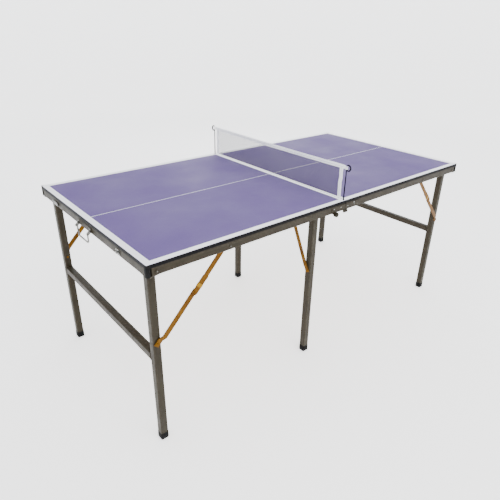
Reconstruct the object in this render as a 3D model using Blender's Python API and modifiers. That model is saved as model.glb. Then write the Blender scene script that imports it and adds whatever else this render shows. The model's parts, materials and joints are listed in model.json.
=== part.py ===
"""Folding mid-size table-tennis table, 6 ft by 3 ft.

Two equal halves meet at a seam across the middle and close like a suitcase on two-pin hinges.  Each half
has a board on a frame of rails, a folding end frame of two legs and a crossbar held by two jointed braces,
and one single inner leg that folds sideways on a brace of its own.  The net stands on two rods in sockets
in the left half, just beside the seam.

Every half is drawn once, as the half that lies on the -X side, and the other is the same half turned by 180
degrees about Z.  The floor is Z = 0 and the seam is the plane X = 0.
"""

from math import atan2, cos, hypot, pi, radians, sin

import bmesh
import bpy
from mathutils import Matrix, Vector

# ---------------------------------------------------------------- driving sizes, in metres
table_length = 1.8288
table_width = 0.9144
table_height = 0.770

board_thickness = 0.013
seam_gap = 0.001
rail_height = 0.0287
rail_width = 0.018
side_rail_width = 0.020
rail_wall = 0.0012
rail_corner = 0.002
seam_rail_edge = 0.003
touch = 0.0003

leg_size = 0.029
leg_wall = 0.0012
leg_corner = 0.0035
fold_gap = 0.001
swing_gap = 0.0008
leg_head = 0.007
end_leg_gap = 0.022
crossbar_drop = 0.392
foot_margin = 0.0025
foot_height = 0.030
foot_floor = 0.005
foot_corner = 0.005

brace_reach = 0.280
brace_drop = 0.297
inner_brace_reach = 0.140
link_width = 0.019
link_thickness = 0.003
lap_width = 0.022
lap_length = 0.064
lap_share = 0.5
ear_stand = 0.0015
ear_length = 0.004
ear_taper = 0.002
joggle_start = 0.018
joggle_slope = 1.6
joggle_offset = 0.001
brace_offset = 0.0025

inner_leg_x = 0.096
bearer_gap = 0.014
bearer_end = 0.009
bearer_run = 0.045

rivet_radius = 0.003
rivet_head = 0.005
rivet_head_thickness = 0.0015
leg_pin_radius = 0.004
spacer_radius = 0.007
bore_clearance = 0.0005

cap_arm = 0.012
cap_wall = 0.0018
cap_lip = 0.0006
cap_corner = 0.006

hinge_pin_x = 0.007
hinge_pin_drop = 0.004
hinge_lobe = 0.006
hinge_plate = 0.002
leaf_length = 0.084
leaf_height = 0.023
leaf_edge = 0.001
knob_x = 0.062
knob_drop = 0.005
knob_radius = 0.010
knob_length = 0.012
knob_neck = 0.007
knob_shoulder = 0.009
knob_crown = 0.006
knob_bevel = 0.0015
knob_flare = 0.004

latch_y = 0.268
latch_drop = 0.028
latch_width = 0.014
latch_thickness = 0.0025
latch_standoff = 0.0025
latch_notch = 0.0037
latch_collar = 0.006
latch_cap = 0.001
catch_stud = 0.003
catch_head = 0.005
catch_corner = 0.003
catch_width = 0.030
catch_height = 0.020
catch_plate = 0.0015

handle_half_span = 0.0515
handle_standout = 0.012
handle_drop = 0.040
handle_depth = 0.038
handle_rod = 0.003
handle_bend = 0.010
handle_tight_bend = 0.003
handle_tip = 0.003
handle_play = 0.001
lug_thickness = 0.004
lug_radius = 0.006
lug_top_margin = 0.003
lug_foot_margin = 0.001
mount_plate = 0.002
mount_height = 0.020
mount_corner = 0.004
mount_margin = 0.010

post_x = 0.007
post_inset = 0.0072
post_radius = 0.003
post_height = 0.129
post_seat = 0.026
hook_radius = 0.0115
hook_start = 225
hook_end = 480
hook_steps = 14
socket_wall = 0.002
net_inset = 0.0212
net_bottom = 0.008
net_top = 0.150
net_tape = 0.019
net_thickness = 0.002

round_sides = 12
corner_steps = 2

# ---------------------------------------------------------------- sizes that follow
half_length = table_length / 2
half_width = table_width / 2
board_bottom = table_height - board_thickness
rail_top = board_bottom - touch
apron_bottom = rail_top - rail_height
rail_middle = (rail_top + apron_bottom) / 2
foot_size = leg_size + foot_margin
leg_pivot_z = board_bottom - foot_size / 2 - fold_gap
end_leg_x = half_length - rail_width - hypot(leg_head, leg_size / 2) - swing_gap
side_rail_inner = half_width - side_rail_width
end_leg_y = side_rail_inner - end_leg_gap - leg_size / 2
hinge_pin_z = apron_bottom - hinge_pin_drop
closed_gap = 2 * (hinge_pin_x + hinge_pin_drop)
apron_height = table_height - apron_bottom
closed_height = 2 * apron_height + closed_gap
latch_reach = closed_height - 2 * latch_drop
knob_z = apron_bottom - knob_drop
lap_gap = rivet_head_thickness + touch
inner_leg_y = end_leg_y - foot_size / 2 - bearer_end - fold_gap
post_y = half_width - post_inset
net_half_length = half_width - net_inset
socket_radius = post_radius + socket_wall
bearer_x = inner_leg_x + leg_size / 2 + bearer_gap + rail_width / 2

X_AXIS = Vector((1, 0, 0))
Y_AXIS = Vector((0, 1, 0))
Z_AXIS = Vector((0, 0, 1))
HALF_TURN = Matrix.Rotation(pi, 4, "Z")

# ---------------------------------------------------------------- materials: colour, metallic, roughness
FINISHES = {
    "playing_surface": ((0.27, 0.23, 0.46), 0.0, 0.45),
    "frame_paint": ((0.14, 0.12, 0.09), 0.6, 0.45),
    "yellow_zinc": ((0.42, 0.24, 0.06), 0.9, 0.38),
    "bright_steel": ((0.60, 0.60, 0.60), 1.0, 0.25),
    "black_plastic": ((0.015, 0.015, 0.017), 0.0, 0.5),
    "black_steel": ((0.02, 0.02, 0.022), 0.6, 0.4),
    "netting": ((0.10, 0.09, 0.16), 0.0, 0.8),
}

for old in list(bpy.data.objects):
    bpy.data.objects.remove(old, do_unlink=True)

parts = bpy.data.collections.new("table_tennis_table")
cutters = bpy.data.collections.new("cutters")
bpy.context.scene.collection.children.link(parts)
bpy.context.scene.collection.children.link(cutters)


def make_material(name, colour, metallic, roughness):
    material = bpy.data.materials.new(name)
    material.use_nodes = True
    shader = material.node_tree.nodes["Principled BSDF"]
    shader.inputs["Base Color"].default_value = (*colour, 1)
    shader.inputs["Metallic"].default_value = metallic
    shader.inputs["Roughness"].default_value = roughness
    return material


materials = {name: make_material(name, *finish) for name, finish in FINISHES.items()}


# ---------------------------------------------------------------- outlines in a plane
def arc(centre_u, centre_v, radius, start, end, steps):
    """Points on an arc, from the start angle to the end angle in degrees."""
    angles = [radians(start + (end - start) * i / steps) for i in range(steps + 1)]
    return [(centre_u + radius * cos(a), centre_v + radius * sin(a)) for a in angles]


def circle(centre_u, centre_v, radius):
    return arc(centre_u, centre_v, radius, 0, 360, round_sides)[:-1]


def rounded_rectangle(width, height, radius, centre=(0, 0)):
    """A rectangle with round corners, counter-clockwise."""
    u = width / 2 - radius
    v = height / 2 - radius
    corners = ((u, v, 0), (-u, v, 90), (-u, -v, 180), (u, -v, 270))
    points = []
    for corner_u, corner_v, start in corners:
        points += arc(centre[0] + corner_u, centre[1] + corner_v, radius, start, start + 90, corner_steps)
    return points


def slot_outline(length, radius):
    """A bar with round ends, from the origin to length along u."""
    half = round_sides // 2
    return arc(0, 0, radius, 90, 270, half) + arc(length, 0, radius, -90, 90, half)


# ---------------------------------------------------------------- solids
def placement(at, u, v):
    """The matrix that carries u, v and u x v to the local axes, with its origin at a point."""
    w = u.cross(v)
    return Matrix.Translation(at) @ Matrix((u, v, w)).transposed().to_4x4()


def add_object(name, mesh, matrix, finish=None):
    """A part with its material, or a cutter where no finish is named."""
    obj = bpy.data.objects.new(name, mesh)
    obj.matrix_world = matrix
    if finish is None:
        cutters.objects.link(obj)
        obj.hide_render = True
        obj.display_type = "WIRE"
        return obj
    parts.objects.link(obj)
    mesh.materials.clear()
    mesh.materials.append(materials[finish])
    return obj


def curve_to_mesh(name, curve):
    """The closed mesh of a curve, its caps welded on."""
    holder = bpy.data.objects.new(name + "_curve", curve)
    bpy.context.scene.collection.objects.link(holder)
    graph = bpy.context.evaluated_depsgraph_get()
    mesh = bpy.data.meshes.new_from_object(holder.evaluated_get(graph))
    bpy.data.objects.remove(holder, do_unlink=True)
    bpy.data.curves.remove(curve)
    shape = bmesh.new()
    shape.from_mesh(mesh)
    bmesh.ops.remove_doubles(shape, verts=shape.verts, dist=1e-6)
    bmesh.ops.recalc_face_normals(shape, faces=shape.faces)
    shape.to_mesh(mesh)
    shape.free()
    mesh.name = name
    return mesh


def smooth_rounds(mesh):
    mesh.shade_smooth()
    mesh.set_sharp_from_angle(angle=radians(32))


def extrusion(name, loops, depth, at, u, v, finish=None):
    """A flat outline with its holes, in u and v, made depth thick about its plane."""
    curve = bpy.data.curves.new(name, "CURVE")
    curve.dimensions = "2D"
    curve.fill_mode = "BOTH"
    curve.extrude = depth / 2
    for loop in loops:
        spline = curve.splines.new("POLY")
        spline.points.add(len(loop) - 1)
        for point, (pu, pv) in zip(spline.points, loop):
            point.co = (pu, pv, 0, 1)
        spline.use_cyclic_u = True
    mesh = curve_to_mesh(name, curve)
    smooth_rounds(mesh)
    return add_object(name, mesh, placement(at, u, v), finish)


def block(name, size, at, finish=None):
    """A box with its sides along the axes."""
    shape = bmesh.new()
    bmesh.ops.create_cube(shape, size=1)
    bmesh.ops.scale(shape, vec=size, verts=shape.verts)
    mesh = bpy.data.meshes.new(name)
    shape.to_mesh(mesh)
    shape.free()
    return add_object(name, mesh, Matrix.Translation(at), finish)


def turned(name, profile, at, axis, finish=None):
    """A solid of revolution about an axis: (radius, height) points from its top down to its bottom."""
    mesh = bpy.data.meshes.new(name)
    points = [(radius, 0, height) for radius, height in profile]
    edges = [(i, i + 1) for i in range(len(points) - 1)]
    mesh.from_pydata(points, edges, [])
    matrix = Matrix.Translation(at) @ Z_AXIS.rotation_difference(axis).to_matrix().to_4x4()
    obj = add_object(name, mesh, matrix, finish)
    screw = obj.modifiers.new("turn", "SCREW")
    screw.steps = round_sides
    screw.render_steps = round_sides
    screw.use_merge_vertices = True
    screw.merge_threshold = 1e-5
    return obj


def rod(name, radius, low, high, at, axis, finish=None):
    """A plain cylinder between two heights along an axis."""
    return turned(name, ((0, high), (radius, high), (radius, low), (0, low)), at, axis, finish)


def combine(obj, tool, operation):
    boolean = obj.modifiers.new(operation.lower(), "BOOLEAN")
    boolean.operation = operation
    boolean.object = tool


def wire(name, points, radius, at, u, v, finish):
    """A round rod bent along flat points."""
    curve = bpy.data.curves.new(name, "CURVE")
    curve.dimensions = "3D"
    curve.bevel_depth = radius
    curve.bevel_resolution = 2
    curve.use_fill_caps = True
    spline = curve.splines.new("POLY")
    spline.points.add(len(points) - 1)
    for point, (pu, pv) in zip(spline.points, points):
        point.co = (pu, pv, 0, 1)
    mesh = curve_to_mesh(name, curve)
    mesh.shade_smooth()
    return add_object(name, mesh, placement(at, u, v), finish)


def square_tube(name, width, height, wall, corner, length, at, u, v, finish):
    """A rectangular tube, open at both ends, width along u, height along v, length along u x v."""
    outer = rounded_rectangle(width, height, corner)
    inner = rounded_rectangle(width - 2 * wall, height - 2 * wall, max(corner - wall, wall))
    return extrusion(name, [outer, inner], length, at, u, v, finish)


def bore(obj, at, axis, radius, reach):
    """A round hole through obj, wide enough for a pin of this radius."""
    tool = rod(obj.name + "_bore", radius + bore_clearance, -reach, reach, at, axis)
    combine(obj, tool, "DIFFERENCE")


def stepped_pin(obj, at, axis, steps):
    """Joins a turned pin to obj; its steps are (radius, from, to) along the axis, in order."""
    profile = [(0, steps[-1][2])]
    for radius, low, high in reversed(steps):
        profile += [(radius, high), (radius, low)]
    profile.append((0, steps[0][1]))
    tool = turned(obj.name + "_pin", profile, at, axis)
    combine(obj, tool, "UNION")


# ---------------------------------------------------------------- board, rails and corners
def world_side(half, side):
    """near is the -Y side; the right half is turned round, so its own -Y side is the far one."""
    at_near = (side < 0) == (half == "left")
    return "near" if at_near else "far"


def make_board(half):
    inner_edge = -seam_gap / 2
    size = (half_length + inner_edge, table_width, board_thickness)
    centre = ((inner_edge - half_length) / 2, 0, table_height - board_thickness / 2)
    board = block(half + "_board", size, centre, "playing_surface")
    if half == "left":
        for side in (-1, 1):
            at = Vector((-post_x, side * post_y, table_height))
            bore(board, at, Z_AXIS, post_radius, 2 * board_thickness)


def make_side_rail(half, side):
    """One long rail; the half that carries the net has a socket for the net post inside its seam end."""
    outer_end = half_length - rail_width - touch
    length = outer_end - seam_rail_edge
    at = Vector((-(outer_end + seam_rail_edge) / 2, side * (half_width - side_rail_width / 2), rail_middle))
    name = f"{half}_{world_side(half, side)}_rail"
    rail = square_tube(
        name, side_rail_width, rail_height, rail_wall, rail_corner, length, at, Y_AXIS, Z_AXIS, "frame_paint"
    )
    for pivot_x, radius in ((end_leg_x, leg_pin_radius), (end_leg_x - brace_reach, rivet_radius)):
        bore(rail, Vector((-pivot_x, at.y, leg_pivot_z)), Y_AXIS, radius, side_rail_width)
    if half == "left":
        add_post_socket(rail, side)


def add_post_socket(rail, side):
    at = Vector((-post_x, side * post_y, rail_middle))
    length = rail_height - 2 * touch
    socket = rod(rail.name + "_socket", socket_radius, -length / 2, length / 2, at, Z_AXIS)
    combine(rail, socket, "UNION")
    bore(rail, at, Z_AXIS, post_radius, rail_height)


def make_end_rail(half):
    at = Vector((-(half_length - rail_width / 2), 0, rail_middle))
    rail = square_tube(
        half + "_end_rail", rail_height, rail_width, rail_wall, rail_corner, table_width, at, Z_AXIS, X_AXIS,
        "frame_paint",
    )
    latch_at = Vector((-half_length, latch_y, table_height - latch_drop))
    bore(rail, latch_at, X_AXIS, rivet_radius, rail_width / 2)


def make_seam_rail(half):
    """The rail across the seam, between the two side rails."""
    at = Vector((-(seam_rail_edge + rail_width / 2), 0, rail_middle))
    length = 2 * (side_rail_inner - touch)
    square_tube(
        half + "_seam_rail", rail_height, rail_width, rail_wall, rail_corner, length, at, Z_AXIS, X_AXIS,
        "frame_paint",
    )


def make_corner_cap(half, side):
    """An angle of plastic around the outer corner, drawn in X and Y."""
    inner = touch
    outer = touch + cap_wall
    bend = arc(-outer + cap_corner, -outer + cap_corner, cap_corner, 270, 180, 2 * corner_steps)
    outline = [(cap_arm, -inner), (cap_arm, -outer)] + bend
    outline += [(-outer, cap_arm), (-inner, cap_arm), (-inner, -inner)]
    at = Vector((-half_length, side * half_width, (table_height + apron_bottom) / 2))
    height = apron_height + 2 * cap_lip
    v = Y_AXIS * -side
    name = f"{half}_{world_side(half, side)}_corner_cap"
    extrusion(name, [outline], height, at, X_AXIS, v, "black_plastic")


def make_frame(half):
    make_end_rail(half)
    make_seam_rail(half)
    for side in (-1, 1):
        make_side_rail(half, side)
        make_corner_cap(half, side)


# ---------------------------------------------------------------- legs
def make_foot(name, x, y):
    """A plastic cap over the end of a leg, its pocket cut by a block."""
    at = Vector((x, y, foot_height / 2))
    outline = rounded_rectangle(foot_size, foot_size, foot_corner)
    foot = extrusion(name, [outline], foot_height, at, X_AXIS, Y_AXIS, "black_plastic")
    pocket = leg_size + 2 * touch
    at = Vector((x, y, foot_floor + foot_height))
    outline = rounded_rectangle(pocket, pocket, leg_corner)
    tool = extrusion(name + "_pocket", [outline], 2 * foot_height, at, X_AXIS, Y_AXIS)
    combine(foot, tool, "DIFFERENCE")


def make_leg_tube(name, x, y):
    """A square tube from just above its pivot to the floor of its foot."""
    top = leg_pivot_z + leg_head
    bottom = foot_floor + touch
    at = Vector((x, y, (top + bottom) / 2))
    return square_tube(
        name, leg_size, leg_size, leg_wall, leg_corner, top - bottom, at, X_AXIS, Y_AXIS, "frame_paint"
    )


def leg_pin_steps(gap, wall_width):
    """The shouldered rivet of a leg: through the tube, a spacer over the gap, through the rail, its head."""
    face = leg_size / 2
    rail_face = face + gap
    end = rail_face + wall_width + touch
    return (
        (rivet_head, -face - rivet_head_thickness, -face + leg_wall / 2),
        (leg_pin_radius, -face + leg_wall / 2, face - leg_wall / 2),
        (spacer_radius, face - leg_wall / 2, rail_face - touch),
        (leg_pin_radius, rail_face - touch, end),
        (spacer_radius, end, end + rivet_head_thickness),
    )


def make_end_legs(half):
    for side in (-1, 1):
        tag = f"{half}_{world_side(half, side)}_leg"
        y = side * end_leg_y
        leg = make_leg_tube(tag, -end_leg_x, y)
        outward = Y_AXIS * side
        pivot = Vector((-end_leg_x, y, leg_pivot_z))
        stepped_pin(leg, pivot, outward, leg_pin_steps(end_leg_gap, side_rail_width))
        bore(leg, pivot - Z_AXIS * brace_drop, Y_AXIS, rivet_radius, leg_size)
        make_foot(tag + "_foot", -end_leg_x, y)
    at = Vector((-end_leg_x, 0, table_height - crossbar_drop))
    length = 2 * (end_leg_y - leg_size / 2 - touch)
    square_tube(
        half + "_crossbar", leg_size, leg_size, leg_wall, leg_corner, length, at, Z_AXIS, X_AXIS,
        "frame_paint",
    )


# ---------------------------------------------------------------- jointed braces
def link_lengths(reach, drop):
    """Upper and lower link, straight when the leg stands and folded flat together when it is in."""
    span = hypot(reach, drop)
    return (span - (drop - reach)) / 2, (span + (drop - reach)) / 2


def make_upper_link(name, length, at, along, up, outward, mount_thickness):
    """The link on the frame: a flat bar, wider where it laps the lower link, with its rivet in the frame."""
    half_link = link_width / 2
    half_lap = lap_width / 2
    start = length - min(lap_length, length * lap_share)
    outline = arc(0, 0, half_link, 90, 270, round_sides // 2)
    outline += [(start, -half_link), (start + half_lap - half_link, -half_lap)]
    outline += arc(length, 0, half_lap, -90, 90, round_sides // 2)
    ear = half_lap + ear_stand
    outline += [(start + half_lap, half_lap), (start, ear), (start - ear_length, ear)]
    outline += [(start - ear_length - ear_taper, half_link)]
    link = extrusion(name, [outline], link_thickness, at, along, up, "yellow_zinc")
    face = link_thickness / 2
    beyond = face + brace_offset + mount_thickness + touch
    stepped_pin(
        link, at, outward,
        (
            (rivet_head, -face - rivet_head_thickness, 0),
            (rivet_radius, 0, beyond),
            (rivet_head, beyond, beyond + rivet_head_thickness),
        ),
    )
    knee = at + along * length
    stepped_pin(link, knee, outward, ((rivet_head, 0, face + rivet_head_thickness),))


def make_lower_link(name, length, at, along, across, set_in, leg_depth):
    """The link on the leg: a bar that steps sideways from the leg's face to the plane beside the upper link.

    at is the centre of its lower pivot, in the plane of the leg's face, and across points from the leg
    towards the frame.
    """
    low = lap_gap
    tail = -link_width / 2
    tip = length + link_width / 2
    run_end = joggle_start + joggle_slope * (set_in - low)
    outline = [(tail, low), (joggle_start, low), (run_end, set_in), (tip, set_in)]
    outline += [(tip, set_in + link_thickness), (run_end - joggle_offset, set_in + link_thickness)]
    outline += [(joggle_start - joggle_offset, low + link_thickness), (tail, low + link_thickness)]
    link = extrusion(name, [outline], link_width, at, along, across, "yellow_zinc")
    beyond = leg_depth + touch
    stepped_pin(
        link, at, -across,
        (
            (rivet_head, -low - link_thickness - rivet_head_thickness, -low),
            (rivet_radius, -low, beyond),
            (rivet_head, beyond, beyond + rivet_head_thickness),
        ),
    )
    knee = at + along * length + across * (set_in + link_thickness / 2)
    stepped_pin(link, knee, -across, ((rivet_head, 0, link_thickness / 2 + rivet_head_thickness),))


def make_end_braces(half):
    upper_length, lower_length = link_lengths(brace_reach, brace_drop)
    lean = atan2(brace_drop, brace_reach)
    along = Vector((cos(lean), 0, sin(lean)))
    up = Vector((-sin(lean), 0, cos(lean)))
    set_in = end_leg_gap - brace_offset - 2 * link_thickness - lap_gap
    for side in (-1, 1):
        tag = f"{half}_{world_side(half, side)}_brace"
        outward = Y_AXIS * side
        upper_y = side * (side_rail_inner - brace_offset - link_thickness / 2)
        upper_at = Vector((-end_leg_x + brace_reach, upper_y, leg_pivot_z))
        make_upper_link(tag + "_upper", upper_length, upper_at, -along, -up, outward, side_rail_width)
        lower_at = Vector((-end_leg_x, side * (end_leg_y + leg_size / 2), leg_pivot_z - brace_drop))
        make_lower_link(tag + "_lower", lower_length, lower_at, along, outward, set_in, leg_size)


# ---------------------------------------------------------------- single inner leg
def make_inner_leg(half):
    """The leg by the seam stands on the near side of the left half and folds inwards about X."""
    name = half + "_inner_leg"
    leg = make_leg_tube(name, -inner_leg_x, -inner_leg_y)
    pivot = Vector((-inner_leg_x, -inner_leg_y, leg_pivot_z))
    stepped_pin(leg, pivot, -X_AXIS, leg_pin_steps(bearer_gap, rail_width))
    bore(leg, pivot - Z_AXIS * brace_drop, X_AXIS, rivet_radius, leg_size)
    make_foot(name + "_foot", -inner_leg_x, -inner_leg_y)


def make_inner_bearer(half):
    """A short tube under the board that holds the pivots of the inner leg and its brace."""
    low = -inner_leg_y - bearer_end
    high = -inner_leg_y + inner_brace_reach + bearer_run
    at = Vector((-bearer_x, (low + high) / 2, rail_middle))
    bearer = square_tube(
        half + "_inner_bearer", rail_height, rail_width, rail_wall, rail_corner, high - low, at, Z_AXIS,
        X_AXIS, "frame_paint",
    )
    for y, radius in ((-inner_leg_y, leg_pin_radius), (-inner_leg_y + inner_brace_reach, rivet_radius)):
        bore(bearer, Vector((at.x, y, leg_pivot_z)), X_AXIS, radius, rail_width)


def make_inner_brace(half):
    upper_length, lower_length = link_lengths(inner_brace_reach, brace_drop)
    lean = atan2(brace_drop, inner_brace_reach)
    along = Vector((0, cos(lean), sin(lean)))
    up = Vector((0, -sin(lean), cos(lean)))
    face_x = -(inner_leg_x + leg_size / 2)
    upper_x = face_x - bearer_gap + brace_offset + link_thickness / 2
    upper_at = Vector((upper_x, -inner_leg_y + inner_brace_reach, leg_pivot_z))
    lower_at = Vector((face_x, -inner_leg_y, leg_pivot_z - brace_drop))
    set_in = bearer_gap - brace_offset - 2 * link_thickness - lap_gap
    name = half + "_inner_brace"
    make_upper_link(name + "_upper", upper_length, upper_at, -along, -up, -X_AXIS, rail_width)
    make_lower_link(name + "_lower", lower_length, lower_at, along, -X_AXIS, set_in, leg_size)


# ---------------------------------------------------------------- latch, catch and handle on the end rail
def make_latch(half):
    """A hook that lies along the rail and turns down through a right angle onto the other half's stud."""
    edge = latch_width / 2
    tip = latch_reach + edge
    outline = arc(0, 0, edge, 90, 270, round_sides // 2)
    outline.append((latch_reach - latch_notch, -edge))
    outline += arc(latch_reach, 0, latch_notch, 180, 0, round_sides // 2)
    outline += [(latch_reach + latch_notch, -edge), (tip, -edge / 2), (tip, edge / 2), (latch_reach, edge)]
    middle = latch_standoff + latch_thickness / 2
    pivot = Vector((-half_length, latch_y, table_height - latch_drop))
    at = pivot - X_AXIS * middle
    latch = extrusion(half + "_latch", [outline], latch_thickness, at, Y_AXIS, Z_AXIS, "bright_steel")
    stepped_pin(
        latch, pivot, -X_AXIS,
        (
            (rivet_radius, -rail_wall - 2 * touch, touch),
            (latch_collar, touch, middle),
            (rivet_head, middle, latch_standoff + latch_thickness + latch_cap),
        ),
    )


def make_catch(half):
    """A plate with the stud that the other half's hook takes hold of."""
    at = Vector((-half_length - touch - catch_plate / 2, -latch_y, table_height - latch_drop))
    outline = rounded_rectangle(catch_width, catch_height, catch_corner)
    catch = extrusion(half + "_catch", [outline], catch_plate, at, Y_AXIS, Z_AXIS, "bright_steel")
    reach = latch_standoff + latch_thickness + touch
    steps = ((catch_stud, 0, reach), (catch_head, reach, reach + rivet_head_thickness))
    stepped_pin(catch, at, -X_AXIS, steps)


def make_handle_mount(half):
    """A plate with two eyes that stand out from the rail."""
    width = 2 * (handle_half_span + mount_margin)
    plate_x = -half_length - touch - mount_plate / 2
    eye_x = -half_length - handle_standout
    eye_z = table_height - handle_drop
    outline = rounded_rectangle(width, mount_height, mount_corner)
    at = Vector((plate_x, 0, rail_middle))
    mount = extrusion(half + "_handle_mount", [outline], mount_plate, at, Y_AXIS, Z_AXIS, "bright_steel")
    top = rail_middle + mount_height / 2 - lug_top_margin
    foot = rail_middle - mount_height / 2 + lug_foot_margin
    outline = [(0, top - eye_z), (0, foot - eye_z)]
    outline += arc(eye_x - plate_x, 0, lug_radius, 270, 120, round_sides // 2)
    hole = circle(eye_x - plate_x, 0, handle_rod + bore_clearance)
    for side in (-1, 1):
        lug_at = Vector((plate_x, side * handle_half_span, eye_z))
        tool = extrusion(mount.name + "_lug", [outline, hole], lug_thickness, lug_at, X_AXIS, Z_AXIS)
        combine(mount, tool, "UNION")


def make_handle(half):
    """A bail of round rod: its ends point outwards through the eyes, and its loop hangs below them."""
    end = handle_half_span + lug_thickness / 2 + handle_tip
    leg = handle_half_span - lug_thickness / 2 - handle_rod - handle_play
    bend = handle_tight_bend
    right = [(end, 0)] + arc(leg + bend, -bend, bend, 90, 180, corner_steps)
    right += arc(leg - handle_bend, -handle_depth + handle_bend, handle_bend, 0, -90, 2 * corner_steps)
    left = [(-u, v) for u, v in reversed(right)]
    at = Vector((-half_length - handle_standout, 0, table_height - handle_drop))
    wire(half + "_handle", right + left, handle_rod, at, Y_AXIS, Z_AXIS, "bright_steel")


# ---------------------------------------------------------------- centre hinge
def make_leaf(half, side):
    """The hinge leaf on a side rail: a plate with a lobe under the rail that carries the hinge pin."""
    name = f"{half}_{world_side(half, side)}_hinge_leaf"
    top = rail_top - (rail_height - leaf_height) / 2
    bottom = top - leaf_height
    with_knob = half == "left" and side < 0
    lobe = hinge_lobe + touch
    outline = [(-leaf_edge, top - hinge_pin_z), (-leaf_length, top - hinge_pin_z)]
    outline.append((-leaf_length, bottom - hinge_pin_z))
    if with_knob:
        outline += arc(-knob_x, knob_z - hinge_pin_z, knob_radius, 180, 360, round_sides // 2)
        outline.append((-knob_x + knob_radius, bottom - hinge_pin_z))
    outline.append((-hinge_pin_x - lobe, bottom - hinge_pin_z))
    outline += arc(-hinge_pin_x, 0, hinge_lobe, 180, 360, round_sides // 2)
    loops = [outline]
    if with_knob:
        loops.append(circle(-knob_x, knob_z - hinge_pin_z, rivet_radius + bore_clearance))
    at = Vector((0, side * (half_width + touch + hinge_plate / 2), hinge_pin_z))
    leaf = extrusion(name, loops, hinge_plate, at, X_AXIS, Z_AXIS, "frame_paint")
    plate = 1.5 * hinge_plate + 3 * touch
    steps = ((rivet_radius, 0, plate), (rivet_head, plate, plate + rivet_head_thickness))
    stepped_pin(leaf, at - X_AXIS * hinge_pin_x, Y_AXIS * side, steps)


def make_hinge_link(side):
    """The bar that joins the pins of the two leaves."""
    name = "near_hinge_link" if side < 0 else "far_hinge_link"
    y = side * (half_width + touch + 1.5 * hinge_plate + 2 * touch)
    outline = slot_outline(2 * hinge_pin_x, hinge_lobe)
    holes = [circle(u, 0, rivet_radius + bore_clearance) for u in (0, 2 * hinge_pin_x)]
    at = Vector((-hinge_pin_x, y, hinge_pin_z))
    extrusion(name, [outline] + holes, hinge_plate, at, X_AXIS, Z_AXIS, "frame_paint")


def make_knob():
    """The round head of the screw that locks the near hinge."""
    at = Vector((-knob_x, -(half_width + touch + hinge_plate), knob_z))
    start = touch
    end = start + knob_length
    back = touch - hinge_plate
    profile = (
        (0, end), (knob_crown, end), (knob_shoulder, end - knob_bevel), (knob_radius, end - knob_flare),
        (knob_radius, start + knob_flare), (knob_neck, start), (rivet_radius, start), (rivet_radius, back),
        (0, back),
    )
    turned("hinge_knob", profile, at, -Y_AXIS, "black_plastic")


# ---------------------------------------------------------------- net
def make_post(side):
    """A rod from its socket up to an open hook that curls outwards and back over."""
    seat = -post_seat - board_thickness
    offset = hook_radius * cos(radians(45))
    hook = arc(offset, post_height + offset, hook_radius, hook_start, hook_end, hook_steps)
    name = "near_net_post" if side < 0 else "far_net_post"
    at = Vector((-post_x, side * post_y, table_height))
    wire(name, [(0, seat)] + hook, post_radius, at, Y_AXIS * side, Z_AXIS, "black_steel")


def make_net():
    """The net as one thin sheet; its top tape runs on to the posts."""
    tie = post_y - post_radius - touch
    tape_low = net_top - net_tape
    outline = [(-net_half_length, net_bottom), (net_half_length, net_bottom), (net_half_length, tape_low)]
    outline += [(tie, tape_low), (tie, net_top), (-tie, net_top), (-tie, tape_low)]
    outline.append((-net_half_length, tape_low))
    at = Vector((-post_x, 0, table_height))
    extrusion("net", [outline], net_thickness, at, Y_AXIS, Z_AXIS, "netting")


# ---------------------------------------------------------------- assembly
def make_half(half):
    make_board(half)
    make_frame(half)
    make_end_legs(half)
    make_end_braces(half)
    make_inner_leg(half)
    make_inner_bearer(half)
    make_inner_brace(half)
    make_latch(half)
    make_catch(half)
    make_handle_mount(half)
    make_handle(half)
    for side in (-1, 1):
        make_leaf(half, side)


make_half("left")
left_objects = set(parts.objects) | set(cutters.objects)
make_half("right")
for obj in (set(parts.objects) | set(cutters.objects)) - left_objects:
    obj.matrix_world = HALF_TURN @ obj.matrix_world

for side in (-1, 1):
    make_hinge_link(side)
    make_post(side)
make_net()
make_knob()
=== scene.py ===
"""Looks of the folding table-tennis table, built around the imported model.

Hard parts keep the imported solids' places and sizes; each gets softened edges and a procedural finish.
The net, the feet and the knob are modelled anew, and lines, edge bands, screws, rivets, brace rings, gussets
and welds are added.
"""

import json
from math import cos, pi, radians, sin

import bmesh
import bpy
from mathutils import Euler, Matrix, Vector


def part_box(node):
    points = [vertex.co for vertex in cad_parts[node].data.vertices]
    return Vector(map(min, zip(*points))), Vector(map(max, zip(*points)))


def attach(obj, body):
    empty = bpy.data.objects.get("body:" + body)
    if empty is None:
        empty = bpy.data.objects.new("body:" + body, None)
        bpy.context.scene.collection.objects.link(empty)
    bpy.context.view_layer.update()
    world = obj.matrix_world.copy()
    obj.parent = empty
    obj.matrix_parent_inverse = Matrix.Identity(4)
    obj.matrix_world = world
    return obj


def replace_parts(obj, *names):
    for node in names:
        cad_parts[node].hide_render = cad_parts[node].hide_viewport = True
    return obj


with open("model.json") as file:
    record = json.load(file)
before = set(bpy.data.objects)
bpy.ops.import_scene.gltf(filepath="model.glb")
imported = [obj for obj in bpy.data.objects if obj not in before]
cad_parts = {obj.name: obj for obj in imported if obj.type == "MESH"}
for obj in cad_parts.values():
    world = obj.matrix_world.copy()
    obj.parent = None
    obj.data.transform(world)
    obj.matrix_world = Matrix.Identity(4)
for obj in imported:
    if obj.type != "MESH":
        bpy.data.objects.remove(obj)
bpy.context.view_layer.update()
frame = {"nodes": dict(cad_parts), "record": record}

Y_AXIS = Vector((0, 1, 0))
Z_AXIS = Vector((0, 0, 1))

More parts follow.
